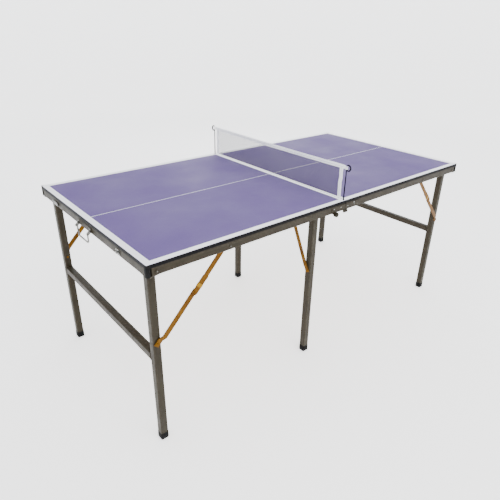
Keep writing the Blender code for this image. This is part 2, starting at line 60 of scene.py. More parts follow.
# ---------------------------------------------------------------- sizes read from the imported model
board_low, board_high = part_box("left_board")
TOP = board_high.z
BOARD = TOP - board_low.z
HALF_LENGTH = -board_low.x
HALF_WIDTH = board_high.y
SEAM = -board_high.x
JOINTS = frame["record"]["behaviour"]["joints"]
PIVOT = {row["name"]: Vector(row["pos_m"]) for row in JOINTS if "pos_m" in row}

# ---------------------------------------------------------------- sizes of the surface detail, in metres
BORDER = 0.0235  # width of the white border line
SEAM_LINE = 0.0130
CENTRE_LINE = 0.0021
PAINT_FILM = 0.00012
PAINT_SETBACK = 0.0001  # the lines stop this far inside the board's rounded edge
FEATHER = 0.0004  # width of the lines' thin rim
FILM_ROOT = 0.00003  # how far the lines sink into the board
BOARD_ROUND = 0.0007
BAND = 0.0008  # how far the edge band stands out from the board
BAND_CLEAR = 0.00005
BAND_STEPS = 24
SEAM_GAP = 0.0003
SIDE_BAND_LAP = 0.0018  # how far each band runs in behind the corner mouldings
END_BAND_LAP = 0.0015
PLATE = 0.0020  # thickness of the hinge leaves and the handle's plate
PLATE_SEAT = 0.0003  # the plates lie this far off the rails
PLATE_GAP = 0.0004  # margin when a plate's faces are picked by their places


# ---------------------------------------------------------------- node helpers for materials
class Shader:
    """A small wrapper that builds one Principled material node by node."""

    def __init__(self, name, base, metallic=0.0, roughness=0.5):
        self.material = bpy.data.materials.new(name)
        self.material.use_nodes = True
        self.tree = self.material.node_tree
        self.bsdf = self.tree.nodes["Principled BSDF"]
        self.set("Base Color", (*base, 1))
        self.set("Metallic", metallic)
        self.set("Roughness", roughness)
        coordinates = self.tree.nodes.new("ShaderNodeTexCoord")
        self.place = coordinates.outputs["Object"]
        self.normal = None

    def set(self, socket, value):
        self.bsdf.inputs[socket].default_value = value

    def link(self, output, socket):
        self.tree.links.new(output, self.bsdf.inputs[socket])

    def stretched(self, scale):
        node = self.tree.nodes.new("ShaderNodeMapping")
        node.inputs["Scale"].default_value = scale
        self.tree.links.new(self.place, node.inputs["Vector"])
        return node.outputs["Vector"]

    def noise(self, scale, detail=3.0, roughness=0.5, vector=None, distortion=0.0):
        node = self.tree.nodes.new("ShaderNodeTexNoise")
        node.inputs["Scale"].default_value = scale
        node.inputs["Detail"].default_value = detail
        node.inputs["Roughness"].default_value = roughness
        node.inputs["Distortion"].default_value = distortion
        self.tree.links.new(vector or self.place, node.inputs["Vector"])
        return node.outputs["Fac"]

    def ramp(self, factor, stops):
        node = self.tree.nodes.new("ShaderNodeValToRGB")
        ramp = node.color_ramp
        ramp.elements[0].position, ramp.elements[0].color = stops[0][0], (*stops[0][1], 1)
        ramp.elements[1].position, ramp.elements[1].color = stops[-1][0], (*stops[-1][1], 1)
        for position, colour in stops[1:-1]:
            ramp.elements.new(position).color = (*colour, 1)
        self.tree.links.new(factor, node.inputs["Fac"])
        return node.outputs["Color"]

    def spread(self, factor, low, high, start=0.3, end=0.7):
        node = self.tree.nodes.new("ShaderNodeMapRange")
        node.inputs["From Min"].default_value = start
        node.inputs["From Max"].default_value = end
        node.inputs["To Min"].default_value = low
        node.inputs["To Max"].default_value = high
        self.tree.links.new(factor, node.inputs["Value"])
        return node.outputs["Result"]

    def mix(self, factor, first, second):
        """Blends two colours, each a tuple or another node's output."""
        node = self.tree.nodes.new("ShaderNodeMix")
        node.data_type = "RGBA"
        self.tree.links.new(factor, node.inputs["Factor"])
        for socket, value in (("A", first), ("B", second)):
            target = [s for s in node.inputs if s.name == socket and s.type == "RGBA"][0]
            if isinstance(value, tuple):
                target.default_value = (*value, 1)
            else:
                self.tree.links.new(value, target)
        return [s for s in node.outputs if s.type == "RGBA"][0]

    def bump(self, height, strength, distance):
        node = self.tree.nodes.new("ShaderNodeBump")
        node.inputs["Strength"].default_value = strength
        node.inputs["Distance"].default_value = distance
        self.tree.links.new(height, node.inputs["Height"])
        if self.normal is not None:
            self.tree.links.new(self.normal, node.inputs["Normal"])
        self.normal = node.outputs["Normal"]
        self.link(self.normal, "Normal")

    def edge_wear(self, start, end):
        """0 on faces and 1 on sharp convex edges, broken up by noise."""
        geometry = self.tree.nodes.new("ShaderNodeNewGeometry")
        worn = self.spread(geometry.outputs["Pointiness"], 0.0, 1.0, start, end)
        broken = self.spread(self.noise(140, 4, 0.6), 0.0, 1.0, 0.42, 0.6)
        node = self.tree.nodes.new("ShaderNodeMath")
        node.operation = "MULTIPLY"
        self.tree.links.new(worn, node.inputs[0])
        self.tree.links.new(broken, node.inputs[1])
        return node.outputs["Value"]


# ---------------------------------------------------------------- materials
def make_playing_paint():
    """Satin lilac-purple enamel: cloudy from the roller, with fine orange peel and faint scuffs."""
    s = Shader("playing_paint", (0.120, 0.100, 0.235), 0.0, 0.50)
    cloud = s.ramp(
        s.noise(2.3, 4, 0.55),
        ((0.30, (0.086, 0.055, 0.188)), (0.52, (0.097, 0.063, 0.203)), (0.75, (0.110, 0.075, 0.217))),
    )
    speckle = s.spread(s.noise(420, 2, 0.5), 0.0, 0.12, 0.45, 0.75)
    base = s.mix(speckle, cloud, (0.17, 0.145, 0.31))
    streaks = s.noise(9, 5, 0.65, s.stretched((1.0, 14.0, 1.0)), 0.6)
    scuffs = s.spread(streaks, 0.0, 0.30, 0.66, 0.80)
    s.link(s.mix(scuffs, base, (0.20, 0.18, 0.33)), "Base Color")
    s.link(s.spread(s.noise(5, 5, 0.6), 0.44, 0.62), "Roughness")
    s.bump(s.noise(650, 2, 0.5), 0.10, 0.0004)
    s.set("Specular IOR Level", 0.08)
    return s.material


def make_line_paint():
    """Bright white enamel for the lines, a little thin over the purple."""
    s = Shader("line_paint", (0.86, 0.87, 0.90), 0.0, 0.38)
    base = s.ramp(
        s.noise(38, 5, 0.6),
        ((0.28, (0.80, 0.81, 0.87)), (0.45, (0.86, 0.87, 0.91)), (0.8, (0.90, 0.91, 0.93))),
    )
    s.link(base, "Base Color")
    s.bump(s.noise(700, 2, 0.5), 0.08, 0.0003)
    return s.material


def make_edge_plastic(name, colour, roughness):
    """Dark extruded or moulded plastic with a fine grain and rubbed edges."""
    s = Shader(name, colour, 0.0, roughness)
    lighter = tuple(c * 1.8 + 0.002 for c in colour)
    dusty = s.spread(s.noise(24, 5, 0.6), 0.0, 0.5, 0.45, 0.75)
    base = s.mix(dusty, colour, lighter)
    rubbed = tuple(c * 3 + 0.010 for c in colour)
    s.link(s.mix(s.edge_wear(0.54, 0.64), base, rubbed), "Base Color")
    s.link(s.spread(s.noise(60, 4, 0.6), roughness - 0.06, roughness + 0.10), "Roughness")
    s.bump(s.noise(1500, 2, 0.5), 0.18, 0.0002)
    s.set("Specular IOR Level", 0.06)
    return s.material


def make_frame_paint():
    """Taupe-grey powder coat: fine orange peel, a cloudy uneven tone, bare specks on the edges."""
    s = Shader("frame_powder_coat", (0.060, 0.050, 0.033), 0.0, 0.48)
    tone = s.ramp(
        s.noise(11, 5, 0.6),
        ((0.28, (0.0150, 0.0114, 0.0060)), (0.5, (0.0195, 0.0153, 0.0085)), (0.78, (0.0265, 0.0212, 0.0126))),
    )
    fleck = s.spread(s.noise(900, 1, 0.5), 0.0, 0.35, 0.55, 0.75)
    base = s.mix(fleck, tone, (0.048, 0.040, 0.026))
    s.link(s.mix(s.edge_wear(0.55, 0.66), base, (0.085, 0.075, 0.060)), "Base Color")
    s.link(s.spread(s.noise(30, 4, 0.6), 0.36, 0.52), "Roughness")
    s.bump(s.noise(520, 2, 0.55), 0.22, 0.0004)
    s.set("Specular IOR Level", 0.12)
    return s.material


def make_yellow_zinc():
    """Yellow chromate over zinc: amber to olive drifts with a rosy bloom."""
    s = Shader("yellow_zinc_plate", (0.34, 0.16, 0.018), 0.55, 0.40)
    drift = s.ramp(
        s.noise(16, 4, 0.6, None, 0.8),
        (
            (0.25, (0.052, 0.019, 0.0008)), (0.42, (0.088, 0.034, 0.0010)), (0.58, (0.120, 0.052, 0.0016)),
            (0.72, (0.084, 0.029, 0.0014)), (0.85, (0.056, 0.031, 0.0016)),
        ),
    )
    grime = s.spread(s.noise(70, 5, 0.65), 0.0, 0.45, 0.52, 0.78)
    s.link(s.mix(grime, drift, (0.030, 0.012, 0.0010)), "Base Color")
    s.link(s.spread(s.noise(45, 5, 0.6), 0.30, 0.50), "Roughness")
    s.bump(s.noise(260, 3, 0.6), 0.15, 0.0003)
    s.set("Specular IOR Level", 0.10)
    return s.material


def make_ring_zinc_painted_highlight():
    """Yellow zinc on the brace rings, its tone made brighter than the bars' zinc as a painted highlight."""
    s = Shader("ring_zinc_painted_highlight", (0.80, 0.52, 0.09), 0.85, 0.28)
    # Painted highlight: this tone is brighter than the bars' yellow zinc.
    tone = s.ramp(s.noise(120, 3, 0.6), ((0.3, (0.17, 0.085, 0.002)), (0.7, (0.27, 0.145, 0.005))))
    s.link(tone, "Base Color")
    s.bump(s.noise(700, 2, 0.5), 0.08, 0.0002)
    return s.material


def make_bright_steel():
    """Nickel or zinc bright finish with hairlines and slight tarnish."""
    s = Shader("bright_plate", (0.50, 0.50, 0.48), 1.0, 0.24)
    tone = s.ramp(
        s.noise(60, 4, 0.6),
        ((0.3, (0.030, 0.030, 0.027)), (0.5, (0.12, 0.12, 0.11)), (0.72, (0.34, 0.34, 0.32))),
    )
    s.link(tone, "Base Color")
    s.link(s.spread(s.noise(90, 5, 0.65), 0.16, 0.36), "Roughness")
    s.bump(s.noise(800, 3, 0.6), 0.10, 0.0002)
    return s.material


def make_black_steel():
    """Black enamelled round bar."""
    s = Shader("black_enamel", (0.012, 0.012, 0.016), 0.0, 0.30)
    s.link(s.mix(s.edge_wear(0.55, 0.7), (0.0016, 0.0014, 0.0034), (0.012, 0.012, 0.018)), "Base Color")
    s.link(s.spread(s.noise(60, 4, 0.6), 0.40, 0.58), "Roughness")
    s.bump(s.noise(500, 2, 0.5), 0.12, 0.0003)
    s.set("Specular IOR Level", 0.04)
    return s.material


def make_board_back():
    """Bare fibreboard: tan with short dark and pale fibres."""
    s = Shader("fibreboard", (0.30, 0.19, 0.105), 0.0, 0.78)
    fibre = s.ramp(
        s.noise(330, 6, 0.75, s.stretched((1.0, 2.2, 1.0)), 1.2),
        ((0.30, (0.185, 0.112, 0.060)), (0.50, (0.300, 0.192, 0.108)), (0.72, (0.400, 0.275, 0.165))),
    )
    patch = s.spread(s.noise(6, 4, 0.6), 0.0, 0.30, 0.40, 0.75)
    s.link(s.mix(patch, fibre, (0.235, 0.148, 0.085)), "Base Color")
    s.bump(s.noise(600, 4, 0.7), 0.25, 0.0005)
    return s.material


def make_white_tape():
    """Plain-woven polyester tape, slightly off white."""
    s = Shader("white_tape", (0.83, 0.84, 0.87), 0.0, 0.85)
    weave = s.noise(1400, 2, 0.5, s.stretched((1.0, 1.0, 0.4)))
    tone = s.ramp(s.noise(30, 4, 0.6), ((0.3, (0.74, 0.75, 0.80)), (0.7, (0.87, 0.88, 0.90))))
    s.link(tone, "Base Color")
    s.bump(weave, 0.5, 0.0004)
    s.set("Sheen Weight", 0.25)
    return s.material


def make_thread():
    """Grey sewing thread on the tapes."""
    s = Shader("grey_thread", (0.26, 0.26, 0.30), 0.0, 0.7)
    twist = s.spread(s.noise(2000, 2, 0.5), 0.0, 1.0)
    s.link(s.mix(twist, (0.20, 0.20, 0.24), (0.34, 0.34, 0.38)), "Base Color")
    s.bump(s.noise(3000, 2, 0.5), 0.4, 0.0002)
    return s.material


def make_net_cord():
    """Dark navy twine, with paler fuzz."""
    s = Shader("net_twine", (0.030, 0.026, 0.062), 0.0, 0.8)
    fuzz = s.spread(s.noise(900, 3, 0.6), 0.0, 0.6)
    s.link(s.mix(fuzz, (0.014, 0.009, 0.024), (0.045, 0.034, 0.070)), "Base Color")
    s.bump(s.noise(2400, 2, 0.5), 0.5, 0.0003)
    s.set("Specular IOR Level", 0.2)
    return s.material


PAINT = make_playing_paint()
LINES = make_line_paint()
EDGE = make_edge_plastic("edge_band_plastic", (0.0022, 0.0022, 0.0028), 0.50)
MOULDED = make_edge_plastic("moulded_plastic", (0.0030, 0.0030, 0.0033), 0.55)
KNOB = make_edge_plastic("knob_plastic", (0.017, 0.014, 0.008), 0.50)
COAT = make_frame_paint()
ZINC = make_yellow_zinc()
BRIGHT = make_bright_steel()
RING = make_ring_zinc_painted_highlight()
ENAMEL = make_black_steel()
BACK = make_board_back()
TAPE = make_white_tape()
THREAD = make_thread()
TWINE = make_net_cord()

SLOT_LOOKS = {
    "playing_surface": PAINT, "frame_paint": COAT, "yellow_zinc": ZINC, "bright_steel": BRIGHT,
    "black_plastic": MOULDED, "black_steel": ENAMEL, "netting": TWINE,
}
NODE_SLOT = {row["node"]: row["material_slot"] for row in frame["record"]["subparts"]}
NODE_BODY = {n: body for body, nodes in frame["record"]["behaviour"]["bodies"].items() for n in nodes}
for node, obj in frame["nodes"].items():
    obj.data.materials.clear()
    obj.data.materials.append(SLOT_LOOKS[NODE_SLOT[node]])


# ---------------------------------------------------------------- mesh helpers
def new_piece(name, shape, materials, body, smooth=None):
    """Turns a bmesh into a piece that rides on a body; edges under smooth, in degrees, look round."""
    bmesh.ops.recalc_face_normals(shape, faces=shape.faces)
    mesh = bpy.data.meshes.new(name)
    shape.to_mesh(mesh)
    shape.free()
    for material in materials:
        mesh.materials.append(material)
    if smooth is not None:
        mesh.shade_smooth()
        mesh.set_sharp_from_angle(angle=radians(smooth))
    piece = bpy.data.objects.new(name, mesh)
    bpy.context.scene.collection.objects.link(piece)
    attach(piece, body)
    return piece


def loft(shape, rings, closed=False):
    """Quads between rings of points, with flat ends or, when closed, joined into a loop."""
    made = [[shape.verts.new(p) for p in ring] for ring in rings]
    pairs = list(zip(made, made[1:]))
    if closed:
        pairs.append((made[-1], made[0]))
    count = len(made[0])
    for low, high in pairs:
        for i in range(count):
            shape.faces.new((low[i], low[(i + 1) % count], high[(i + 1) % count], high[i]))
    if not closed:
        shape.faces.new(made[0][::-1])
        shape.faces.new(made[-1])


def lathe(shape, profile, matrix, steps=20):
    """Revolves (radius, height) points about the matrix's Z, with a flat disc at each end."""
    rings = []
    for radius, height in profile:
        angles = [2 * pi * i / steps for i in range(steps)]
        rings.append([matrix @ Vector((radius * cos(a), radius * sin(a), height)) for a in angles])
    loft(shape, rings)


def sweep(shape, points, radius, sides=8, closed=False):
    """A round cord or rod along points; radius is one value or one for each point."""
    points = [Vector(p) for p in points]
    count = len(points)
    radii = radius if isinstance(radius, list) else [radius] * count
    rings = []
    side = None
    for i, point in enumerate(points):
        before = points[i - 1] if i or closed else point
        after = points[(i + 1) % count] if i < count - 1 or closed else point
        along = (after - before).normalized()
        if side is None:
            side = along.orthogonal().normalized()
        side = (side - along * side.dot(along)).normalized()
        other = along.cross(side)
        angles = [2 * pi * k / sides for k in range(sides)]
        rings.append([point + (side * cos(a) + other * sin(a)) * radii[i] for a in angles])
    loft(shape, rings, closed=closed)


def rounded_square(width, depth, radius, steps=4):
    """Corner-rounded rectangle points about the origin, in x and y."""
    points = []
    for sx, sy, start in ((1, 1, 0), (-1, 1, 90), (-1, -1, 180), (1, -1, 270)):
        for i in range(steps + 1):
            a = radians(start + 90 * i / steps)
            x = sx * (width / 2 - radius) + radius * cos(a)
            y = sy * (depth / 2 - radius) + radius * sin(a)
            points.append((x, y))
    return points


def frame_at(point, axis, roll=0.0):
    """A matrix whose Z points along axis at point."""
    turn = Z_AXIS.rotation_difference(Vector(axis)).to_matrix().to_4x4()
    return Matrix.Translation(point) @ turn @ Matrix.Rotation(roll, 4, "Z")


def screw_head(shape, point, axis, size, roll=0.0):
    """A domed cross-recessed screw head on its washer face; size is its radius and height."""
    radius, height = size
    matrix = frame_at(point, axis, roll)
    steps = 16
    profile = ((1.0, 0.0), (1.0, 0.25), (0.94, 0.55), (0.78, 0.84), (0.52, 1.0), (0.22, 1.04))
    rings = []
    for share, level in profile:
        ring = []
        for i in range(steps):
            arm = i % (steps // 4) == 0 and share < 0.6
            a = 2 * pi * i / steps
            z = height * (level - (0.75 if arm or share < 0.3 else 0.0))
            ring.append(matrix @ Vector((radius * share * cos(a), radius * share * sin(a), z)))
        rings.append(ring)
    loft(shape, rings)


def domed_rivet(shape, point, axis, size):
    """A domed rivet head; size is its radius and height."""
    radius, height = size
    profile = ((1.0, 0.0), (1.0, 0.18), (0.93, 0.48), (0.76, 0.76), (0.50, 0.94), (0.20, 1.0))
    lathe(shape, [(radius * r, height * h) for r, h in profile], frame_at(point, axis))


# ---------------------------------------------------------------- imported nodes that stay: edges and finishes
WELD_DISTANCE = 2e-6
FLAT_ANGLE = 0.6


def soften(node, edge, limit=50, segments=2):
    """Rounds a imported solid's edges sharper than limit, in degrees, by modifiers; its vertices stay."""
    obj = frame["nodes"][node]
    if "custom_normal" in obj.data.attributes:
        obj.data.attributes.remove(obj.data.attributes["custom_normal"])
    obj.data.shade_smooth()
    weld = obj.modifiers.new("weld", "WELD")
    weld.merge_threshold = WELD_DISTANCE
    flat = obj.modifiers.new("flat", "DECIMATE")
    flat.decimate_type = "DISSOLVE"
    flat.angle_limit = radians(FLAT_ANGLE)
    bevel = obj.modifiers.new("bevel", "BEVEL")
    bevel.width = edge
    bevel.segments = segments
    bevel.limit_method = "ANGLE"
    bevel.angle_limit = radians(limit)
    bevel.use_clamp_overlap = True
    bevel.miter_outer = "MITER_ARC"
    normals = obj.modifiers.new("normals", "WEIGHTED_NORMAL")
    normals.keep_sharp = True


SOFT_EDGE = {
    "frame_paint": 0.0004, "yellow_zinc": 0.0004, "bright_steel": 0.0003, "black_plastic": 0.0006,
    "black_steel": 0.0003,
}
HALVES = ("left", "right")
SIDES = ("near", "far")
LEGS = ("near_leg", "far_leg", "inner_leg")
REPLACED = {"net", "hinge_knob"} | {f"{half}_{leg}_foot" for half in HALVES for leg in LEGS}
for node, slot_name in NODE_SLOT.items():
    if slot_name in SOFT_EDGE and node not in REPLACED:
        soften(node, SOFT_EDGE[slot_name])


def two_finishes(node, second, chosen):
    """Gives the faces picked by their centres a second finish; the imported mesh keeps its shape."""
    obj = frame["nodes"][node]
    obj.data.materials.append(second)
    for face in obj.data.polygons:
        if chosen(obj.matrix_world @ face.center):
            face.material_index = 1


for half in HALVES:
    for name in ("near_brace_upper", "far_brace_upper"):
        two_finishes(f"{half}_{name}", COAT, lambda p: abs(p.y) > HALF_WIDTH - PLATE_GAP)
    two_finishes(half + "_handle_mount", COAT, lambda p: abs(p.x) < HALF_LENGTH + PLATE + PLATE_GAP)


def paint_board(half):
    """Enamel on top, bare fibreboard below, black edges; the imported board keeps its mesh."""
    obj = frame["nodes"][half + "_board"]
    obj.data.materials.clear()
    for material in (PAINT, BACK, EDGE):
        obj.data.materials.append(material)
    for face in obj.data.polygons:
        face.material_index = 0 if face.normal.z > 0.5 else 1 if face.normal.z < -0.5 else 2
    soften(half + "_board", BOARD_ROUND, 60, 3)


# ---------------------------------------------------------------- boards: lines and edge bands
def half_sign(half):
    """-1 for the half on the -X side."""
    return -1 if half == "left" else 1


def strip(shape, low_x, high_x, low_y, high_y, film):
    """A painted strip with a feathered rim, lying on the board."""
    rings = []
    for inset, lift in ((0.0, -FILM_ROOT), (FEATHER / 8, film * 0.7), (FEATHER, film)):
        a, b = low_x + inset, high_x - inset
        c, d = low_y + inset, high_y - inset
        rings.append([Vector((x, y, TOP + lift)) for x, y in ((a, c), (b, c), (b, d), (a, d))])
    loft(shape, rings)


def paint_lines(half):
    """The white border, the line along the seam and the thin centre line of one half."""
    s = half_sign(half)
    shape = bmesh.new()
    edge = BOARD_ROUND + PAINT_SETBACK
    outer = HALF_LENGTH - edge
    seam = SEAM + edge
    wide = HALF_WIDTH - edge

    def put(x0, x1, y0, y1, film=PAINT_FILM):
        low, high = sorted((s * x0, s * x1))
        strip(shape, low, high, y0, y1, film)

    put(outer - BORDER, outer, -wide, wide)
    for side in (-1, 1):
        low, high = sorted((side * (wide - BORDER), side * wide))
        put(seam, outer - BORDER, low, high)
    inner = wide - BORDER
    put(seam, seam + SEAM_LINE, -inner, inner)
    put(seam + SEAM_LINE, outer - BORDER, -CENTRE_LINE / 2, CENTRE_LINE / 2, PAINT_FILM * 0.8)
    new_piece(half + "_lines", shape, [LINES], half + "_half")


def band_profile():
    """Outward and upward offsets of the extruded edge band, from its top lip round to its bottom."""
    height = BOARD
    bulge = ((0.0, -0.0002), (0.55, -0.0006), (0.88, -0.0016), (1.0, -0.0032), (1.0, -0.75 * height))
    bulge += ((0.92, -0.86 * height), (0.6, -0.95 * height), (0.0, -0.985 * height))
    return [(BAND * out, z) for out, z in bulge]


def edge_bands(half):
    """Black bands over the board's edges, between the corner mouldings and the seam."""
    s = half_sign(half)
    shape = bmesh.new()
    cap_low, cap_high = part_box(f"{half}_near_corner_cap")
    cap_reach = (cap_high - cap_low).x
    cap_inner = HALF_LENGTH - cap_reach + SIDE_BAND_LAP
    for side in (-1, 1):
        rings = []
        for i in range(BAND_STEPS + 1):
            x = s * (SEAM + SEAM_GAP + (cap_inner - 2 * SEAM_GAP - SEAM) * i / BAND_STEPS)
            y = side * (HALF_WIDTH + BAND_CLEAR)
            rings.append([Vector((x, y + side * out, TOP + z)) for out, z in band_profile()])
        loft(shape, rings)
    rings = []
    reach = HALF_WIDTH - cap_reach + END_BAND_LAP
    for i in range(BAND_STEPS + 1):
        y = -reach + 2 * reach * i / BAND_STEPS
        x = HALF_LENGTH + BAND_CLEAR
        rings.append([Vector((s * (x + out), y, TOP + z)) for out, z in band_profile()])
    loft(shape, rings)
    new_piece(half + "_edge_bands", shape, [EDGE], half + "_half", 60)


# ---------------------------------------------------------------- fastenings
# Head radius and height of each kind of screw and rivet.
LEAF_SCREW = (0.0033, 0.0015)
WOOD_SCREW = (0.0036, 0.0015)
PLATE_SCREW = (0.0036, 0.0018)
CATCH_SCREW = (0.0026, 0.0012)
PIVOT_RIVET = (0.0028, 0.0012)
# Screws in a hinge leaf: distance from the seam and height above the rail's middle.
TWO_SCREWS = ((0.072, 0.0045), (0.029, 0.0035))
THREE_SCREWS = ((0.014, 0.0015), (0.054, 0.0090), (0.056, 0.0))
RIVET_SINK = 0.0001
HANDLE_SCREW_Y = 0.036
CATCH_SCREW_Y = 0.0105
CATCH_FACE = 0.0018  # from the board's end to the catch plate's outer face

RING_SHARE = 0.41  # the ring's place along the brace, from its pivot on the rail to its pivot on the leg
RING_WINDOW = (0.06, 0.11)  # the upper link's corners in this stretch above the ring give its section
RING_LENGTH = 0.0135
RING_WALL = 0.0008
RING_EASE = 0.0003
RING_LIP = 0.0003
RING_CORNER = 0.0012

GUSSET_LENGTH = 0.030
GUSSET_DEPTH = 0.0052
GUSSET_THICK = 0.0015
GUSSET_UNDER_CAP = 0.0020
GUSSET_SETBACK = 0.0003
GUSSET_RISE = 0.0002


def outward_of(low, high):
    """The side of the table a box lies on, -1 for near."""
    return -1 if (low + high).y < 0 else 1


def half_screws(half):
    """Screws in the hinge leaves, handle plate, catch and rails, and rivets at the end legs' pivots."""
    s = half_sign(half)
    bright = bmesh.new()
    for k, side_name in enumerate(SIDES):
        low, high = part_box(f"{half}_{side_name}_hinge_leaf")
        side = outward_of(low, high)
        plate_y = side * (HALF_WIDTH + PLATE + PLATE_SEAT)
        rail_low, rail_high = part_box(f"{half}_{side_name}_rail")
        leaf_mid = (rail_low.z + rail_high.z) / 2
        for i, (x, dz) in enumerate(TWO_SCREWS if side * s > 0 else THREE_SCREWS):
            screw_head(bright, (s * x, plate_y, leaf_mid + dz), (0, side, 0), LEAF_SCREW, 0.5 + i + k)
        for name, joint in (("leg", "legs_fold"), ("brace_upper", "brace_upper_turn")):
            low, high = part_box(f"{half}_{side_name}_{name}")
            at = PIVOT[f"{half}_{joint}"]
            face = side * (max(abs(low.y), abs(high.y)) - RIVET_SINK)
            domed_rivet(bright, (at.x, face, at.z), (0, side, 0), PIVOT_RIVET)
        rail_y = (rail_low.y + rail_high.y) / 2
        for share in (0.16, 0.42, 0.62, 0.90):
            x = rail_low.x + (rail_high.x - rail_low.x) * (share if s > 0 else 1 - share)
            screw_head(bright, (x, rail_y, rail_low.z), (0, 0, -1), WOOD_SCREW, share * 9)
    for name in ("end_rail", "seam_rail"):
        rail_low, rail_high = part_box(f"{half}_{name}")
        x = (rail_low.x + rail_high.x) / 2
        for share in (0.12, 0.36, 0.64, 0.88):
            y = rail_low.y + (rail_high.y - rail_low.y) * share
            screw_head(bright, (x, y, rail_low.z), (0, 0, -1), WOOD_SCREW, share * 7)
    low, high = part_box(half + "_inner_bearer")
    for share in (0.14, 0.86):
        y = low.y + (high.y - low.y) * share
        screw_head(bright, ((low.x + high.x) / 2, y, low.z), (0, 0, -1), WOOD_SCREW, share * 5)
    rail_low, rail_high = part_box(half + "_end_rail")
    middle = (rail_low.z + rail_high.z) / 2
    face = s * (HALF_LENGTH + PLATE + PLATE_SEAT)
    for y in (-HANDLE_SCREW_Y, HANDLE_SCREW_Y):
        screw_head(bright, (face, y, middle), (s, 0, 0), PLATE_SCREW, y * 30)
    low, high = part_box(half + "_catch")
    catch_y = (low.y + high.y) / 2
    for dy in (-CATCH_SCREW_Y, CATCH_SCREW_Y):
        at = (s * (HALF_LENGTH + CATCH_FACE), catch_y + dy, (low.z + high.z) / 2)
        screw_head(bright, at, (s, 0, 0), CATCH_SCREW, dy * 80)
    new_piece(half + "_screws", bright, [BRIGHT], half + "_half", 40)


def brace_rings(half):
    """The lock ring of each end brace: a band of bright plate bent round the upper link, above its knee."""
    shape = bmesh.new()
    upper, lower = PIVOT[half + "_brace_upper_turn"], PIVOT[half + "_brace_lower_turn"]
    run = Vector((lower.x - upper.x, 0, lower.z - upper.z))
    centre = Vector((upper.x, 0, upper.z)) + run * RING_SHARE
    reach = run.length
    run.normalize()
    across = run.cross(Y_AXIS)
    for side_name in SIDES:
        link = frame["nodes"][f"{half}_{side_name}_brace_upper"]
        corners = [link.matrix_world @ v.co for v in link.data.vertices]
        start, end = (share * reach for share in RING_WINDOW)
        nearby = [p for p in corners if start < (centre - p).dot(run) < end]
        low = min(p.y for p in nearby)
        high = max(p.y for p in nearby)
        offsets = [(p - centre).dot(across) for p in nearby]
        wide = min(2 * abs(min(offsets)), 2 * max(offsets))
        middle = centre + Y_AXIS * (low + high) / 2
        rings = []
        for along, wall in ((-0.5, RING_LIP), (-0.44, RING_WALL), (0.44, RING_WALL), (0.5, RING_LIP)):
            grow = 2 * wall + RING_EASE
            outline = rounded_square(wide + grow, high - low + grow, RING_CORNER, 4)
            rings.append([middle + run * along * RING_LENGTH + across * u + Y_AXIS * v for u, v in outline])
        loft(shape, rings)
    new_piece(f"{half}_brace_rings", shape, [RING], NODE_BODY[f"{half}_near_brace_upper"], 50)


def corner_gussets(half):
    """Plates under the rails at the outer corners, deepest beside the cap and curving up into the rails."""
    s = half_sign(half)
    shape = bmesh.new()
    rail_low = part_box(half + "_near_rail")[0]
    cap_low, cap_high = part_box(half + "_near_corner_cap")
    start = cap_high.x - cap_low.x - GUSSET_UNDER_CAP
    top = rail_low.z + GUSSET_RISE
    curve = [(GUSSET_LENGTH * t, -GUSSET_DEPTH * (1 - t) ** 1.7) for t in (0, 0.06, 0.15, 0.3, 0.5, 0.75)]
    profile = [(0.0, 0.0)] + curve + [(GUSSET_LENGTH, 0.0)]

    def put(x, y, along, inward):
        corner = Vector((x, y, top))
        rings = []
        for inset in (0.0, GUSSET_THICK):
            rings.append([corner + along * u + Z_AXIS * w + inward * inset for u, w in profile])
        loft(shape, rings)

    inward_x = Vector((-s, 0, 0))
    for side in (-1, 1):
        inward_y = Y_AXIS * -side
        put(s * (HALF_LENGTH - start), side * (HALF_WIDTH - GUSSET_SETBACK), inward_x, inward_y)
        put(s * (HALF_LENGTH - GUSSET_SETBACK), side * (HALF_WIDTH - start), inward_y, inward_x)
    new_piece(half + "_corner_gussets", shape, [COAT], half + "_half", 50)


# ---------------------------------------------------------------- feet, knob
FOOT_CORNER = 0.0052
KNURL = 0.035  # depth of the knob's ridges, as a share of its radius


def moulded_foot(half, leg):
    """A pushed-on plastic cap: chamfered sole, straight ribbed wall and a rolled lip round the tube."""
    node = f"{half}_{leg}_foot"
    low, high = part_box(node)
    width = high.x - low.x
    centre = Vector(((low.x + high.x) / 2, (low.y + high.y) / 2, 0))
    shape = bmesh.new()
    stations = (
        (0.0, 0.84), (0.0005, 0.90), (0.0018, 0.955), (0.0040, 0.985), (0.0065, 1.0), (0.0072, 0.975),
        (0.0082, 0.975), (0.0090, 1.0), (0.0235, 0.992), (0.0245, 0.968), (0.0255, 0.968), (0.0264, 0.992),
        (0.0286, 0.988), (0.0296, 0.975), (0.0300, 0.955), (0.0296, 0.934), (0.0240, 0.928),
    )
    rings = []
    for z, share in stations:
        outline = rounded_square(width * share, width * share, FOOT_CORNER * share, 5)
        rings.append([centre + Vector((x, y, z)) for x, y in outline])
    loft(shape, rings)
    cap = new_piece(f"{half}_{leg}_foot_cap", shape, [MOULDED], NODE_BODY[node], 45)
    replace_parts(cap, node)


